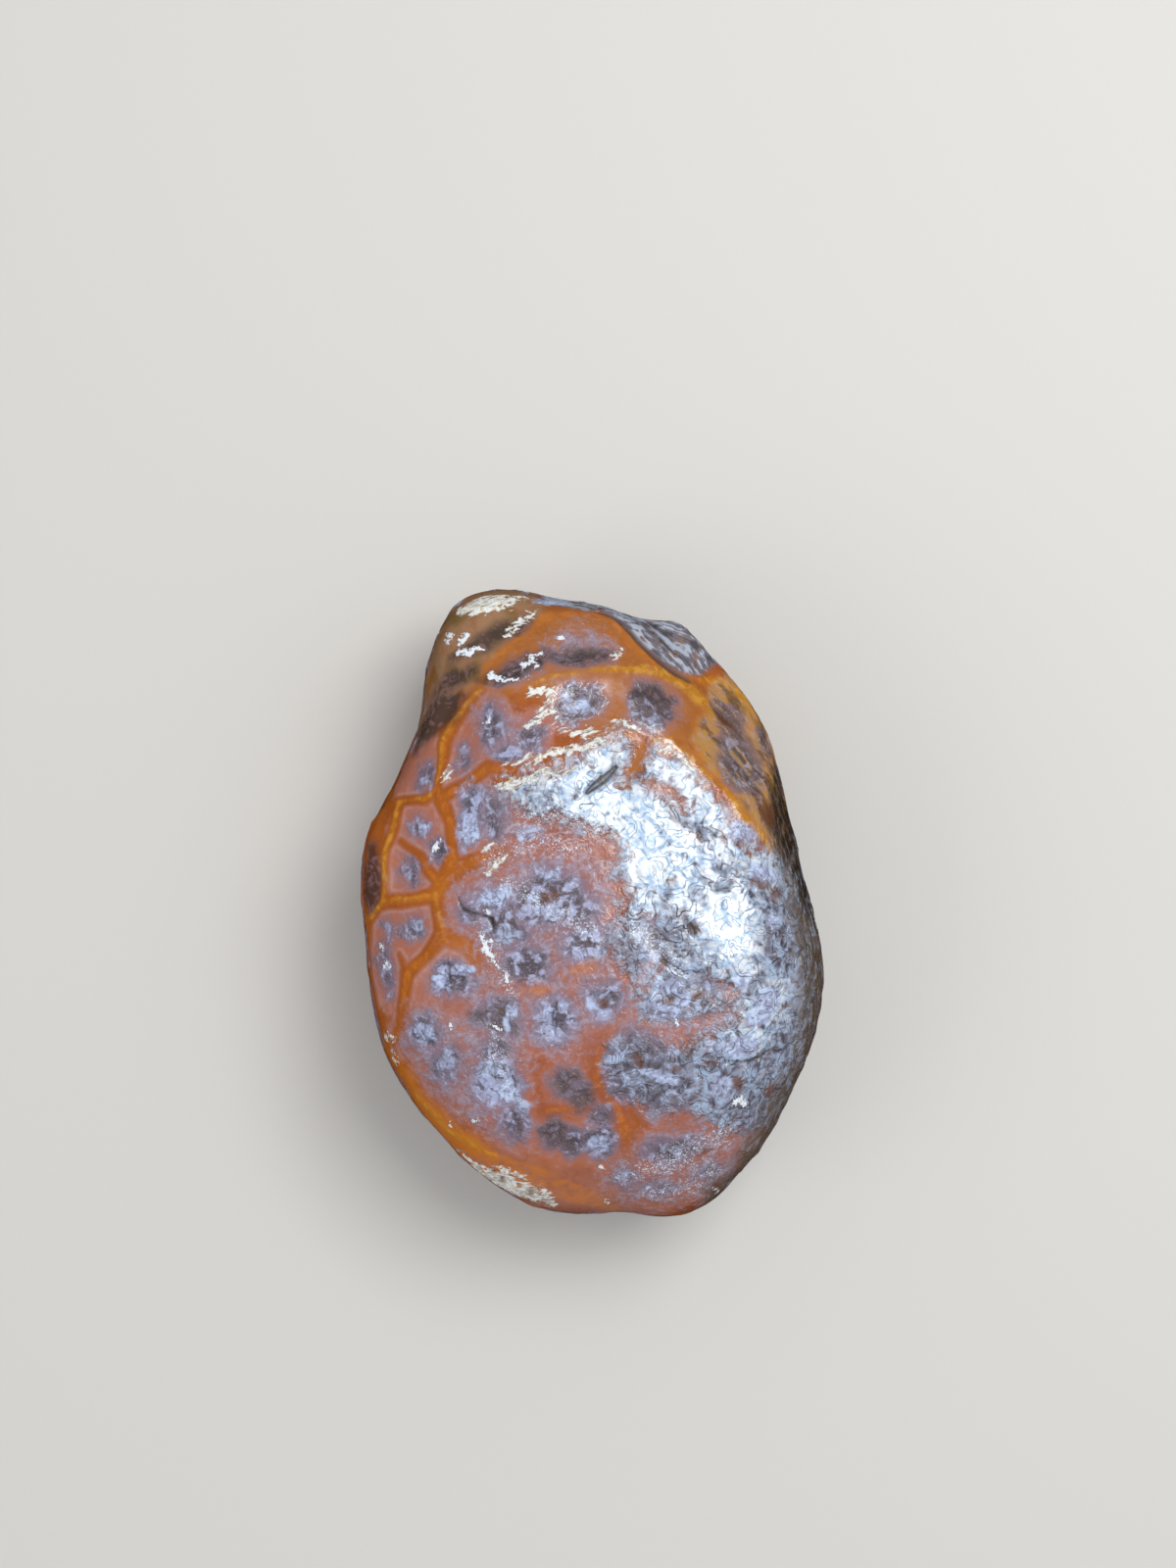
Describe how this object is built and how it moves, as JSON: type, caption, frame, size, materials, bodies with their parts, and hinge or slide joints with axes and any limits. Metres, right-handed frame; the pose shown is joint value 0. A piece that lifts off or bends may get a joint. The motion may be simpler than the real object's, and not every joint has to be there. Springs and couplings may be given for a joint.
{
  "type": "agate pebble",
  "caption": "Water-worn agate pebble with an orange web around grey eyes, lying on its flat back, patterned face up.",
  "frame": {"origin": "middle of the footprint's box, on the resting plane", "axes": "+Y to the narrow, ledged end; +Z out of the patterned face; +X to the side with the steep facet"},
  "size_m": [0.0382, 0.052, 0.025],
  "materials": {
    "agate": "polished"
  },
  "bodies": {
    "root": {"agate": "agate"}
  },
  "joints": []
}
